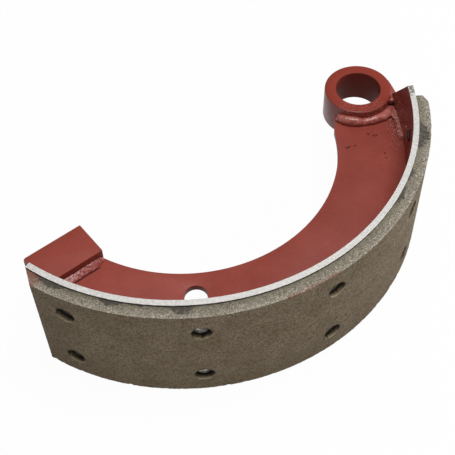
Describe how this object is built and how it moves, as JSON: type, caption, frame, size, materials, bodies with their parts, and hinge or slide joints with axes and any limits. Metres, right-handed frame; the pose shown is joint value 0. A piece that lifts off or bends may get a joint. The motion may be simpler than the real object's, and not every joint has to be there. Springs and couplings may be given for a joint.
{
  "type": "brake shoe",
  "caption": "Curved drum-brake shoe with a single steel web, a rolled table, a riveted friction lining, an anchor boss with a pin bore and a flat-faced cam block.",
  "frame": {"origin": "on the drum's axis, at the middle of the shoe's width", "axes": "+Z along the drum's axis, +X towards the anchor end, the lining faces -Y"},
  "size_m": [0.3241, 0.1591, 0.092],
  "materials": {
    "red_primer": "red oxide primer, sprayed on raw steel, slightly glossy",
    "friction_material": "ground friction material, rough, brown-grey with fine metal flecks",
    "rivet_metal": "plain dull rivet metal",
    "weld_metal": "welded bead under the same red primer"
  },
  "bodies": {
    "root": {"web_plate": "red_primer", "shoe_table": "red_primer", "anchor_boss": "red_primer", "cam_block": "red_primer", "brake_lining": "friction_material", "lining_rivets": "rivet_metal", "table_end_weld": "weld_metal", "boss_weld_top": "weld_metal", "boss_weld_bottom": "weld_metal", "block_weld_top": "weld_metal", "block_weld_bottom": "weld_metal", "boss_table_weld_top": "weld_metal", "boss_table_weld_bottom": "weld_metal", "table_weld_top_1": "weld_metal", "table_weld_bottom_1": "weld_metal", "table_weld_top_2": "weld_metal", "table_weld_bottom_2": "weld_metal", "table_weld_top_3": "weld_metal", "table_weld_bottom_3": "weld_metal", "table_weld_top_4": "weld_metal", "table_weld_bottom_4": "weld_metal"}
  },
  "joints": []
}
